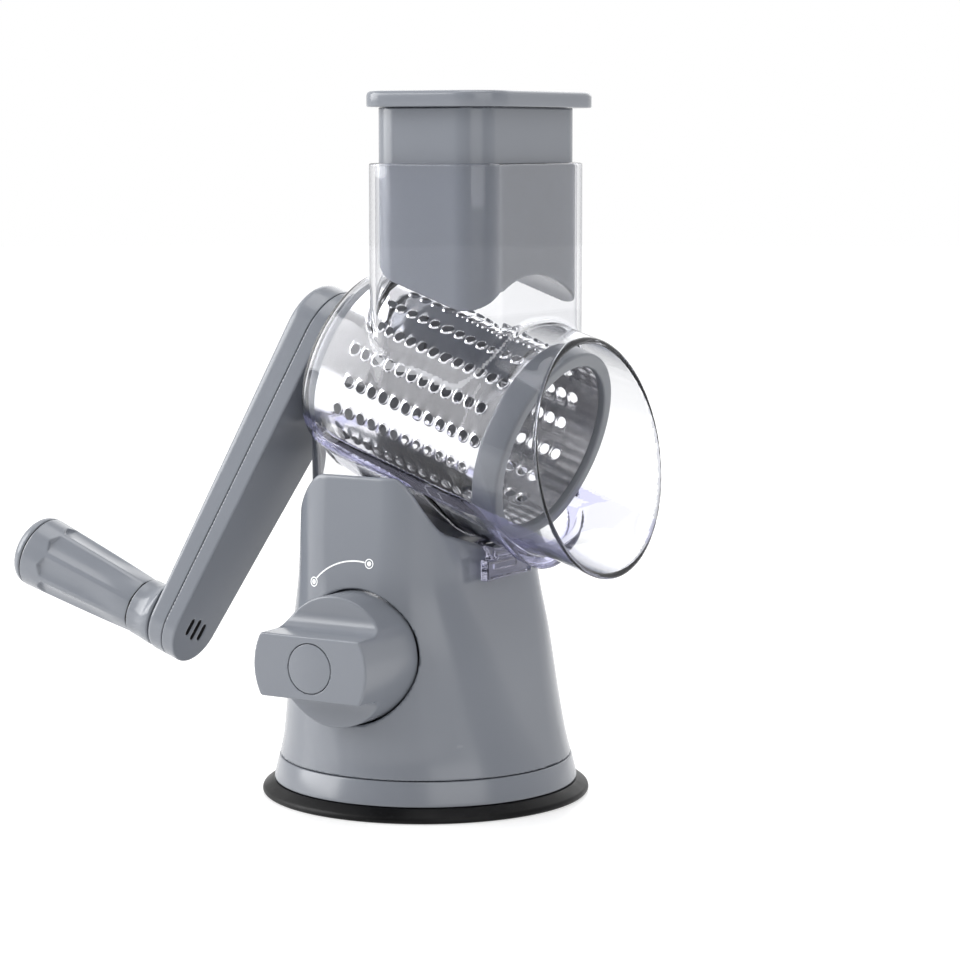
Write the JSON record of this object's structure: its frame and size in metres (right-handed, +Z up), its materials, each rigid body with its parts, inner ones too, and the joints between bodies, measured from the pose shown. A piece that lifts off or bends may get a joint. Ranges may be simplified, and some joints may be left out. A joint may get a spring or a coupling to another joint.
{
  "type": "rotary drum grater",
  "caption": "Hand cranked rotary drum grater: clear hopper with pusher over a steel grating drum in a flared outlet, on a tapered suction base with a turning lock knob.",
  "frame": {"origin": "centre of the rubber foot's underside, on the table", "axes": "+Z up, +X toward the outlet, so the drum's axis lies in the XZ plane and points down at +X; the suction knob faces -Y and the crank is behind at -X"},
  "size_m": [0.2521, 0.1498, 0.2795],
  "materials": {
    "rubber": "matt black rubber",
    "grey_plastic": "satin gloss grey ABS",
    "inner_plastic": "plain dark moulded plastic",
    "bearing_plastic": "natural acetal",
    "clear_plastic": "clear polished AS plastic",
    "steel": "polished stainless steel sheet",
    "zinc_steel": "zinc plated steel"
  },
  "bodies": {
    "base": {"suction_pad": "rubber", "base_plate": "grey_plastic", "base_shell": "grey_plastic", "base_screw_1": "zinc_steel", "base_screw_2": "zinc_steel", "base_screw_3": "zinc_steel", "base_screw_4": "zinc_steel", "cam_bracket": "inner_plastic", "bracket_screw_1": "zinc_steel", "bracket_screw_2": "zinc_steel", "return_spring": "zinc_steel"},
    "knob": {"lock_knob": "grey_plastic", "knob_cap": "grey_plastic", "knob_screw": "zinc_steel", "cam_shaft": "zinc_steel"},
    "plunger": {"plunger": "inner_plastic"},
    "feeder": {"drum_housing": "clear_plastic"},
    "latch": {"release_tab": "clear_plastic"},
    "drum": {"drum_bush": "bearing_plastic", "drum_hub": "grey_plastic", "drum_shell": "steel", "drum_rim": "grey_plastic"},
    "crank": {"crank_arm": "grey_plastic", "crank_cover": "grey_plastic", "crank_plug": "inner_plastic", "crank_screw_1": "zinc_steel", "crank_screw_2": "zinc_steel", "grip_collar": "grey_plastic", "grip_axle": "zinc_steel"},
    "grip": {"grip": "grey_plastic", "grip_washer": "zinc_steel", "grip_screw": "zinc_steel", "grip_cap": "grey_plastic"},
    "pusher": {"pusher_body": "grey_plastic", "pusher_lid": "grey_plastic"}
  },
  "joints": [
    {"name": "knob_turn", "type": "hinge", "parent": "base", "child": "knob", "pos_m": [0, -0.055, 0.0617], "axis": [0, 1, 0], "range_deg": [0, 60]},
    {"name": "suction_lift", "type": "slide", "parent": "base", "child": "plunger", "axis": [0, 0, 1], "range_m": [0, 0.00502], "deforming": ["return_spring"]},
    {"name": "feeder_lift", "type": "slide", "parent": "base", "child": "feeder", "axis": [0, 0, 1], "range_m": [0, 0.09]},
    {"name": "latch_pull", "type": "hinge", "parent": "feeder", "child": "latch", "pos_m": [0.0362, 0, 0.1], "axis": [0, -1, 0], "range_deg": [0, 12], "stiffness_Nm_per_rad": 0.2},
    {"name": "drum_spin", "type": "hinge", "parent": "feeder", "child": "drum", "pos_m": [0, 0, 0.1626], "axis": [0.9426, 0, -0.3338], "continuous": true},
    {"name": "crank_pull", "type": "slide", "parent": "drum", "child": "crank", "axis": [-0.9426, 0, 0.3338], "range_m": [0, 0.05]},
    {"name": "grip_spin", "type": "hinge", "parent": "crank", "child": "grip", "pos_m": [-0.13054, -0.04847, 0.08155], "axis": [0.9426, 0, -0.3338], "continuous": true},
    {"name": "pusher_slide", "type": "slide", "parent": "feeder", "child": "pusher", "axis": [0, 0, 1], "range_m": [-0.0212, 0.09]}
  ],
  "couplings": [
    {"joint": "suction_lift", "follows": "knob_turn", "m_per_rad": 0.0047746}
  ]
}
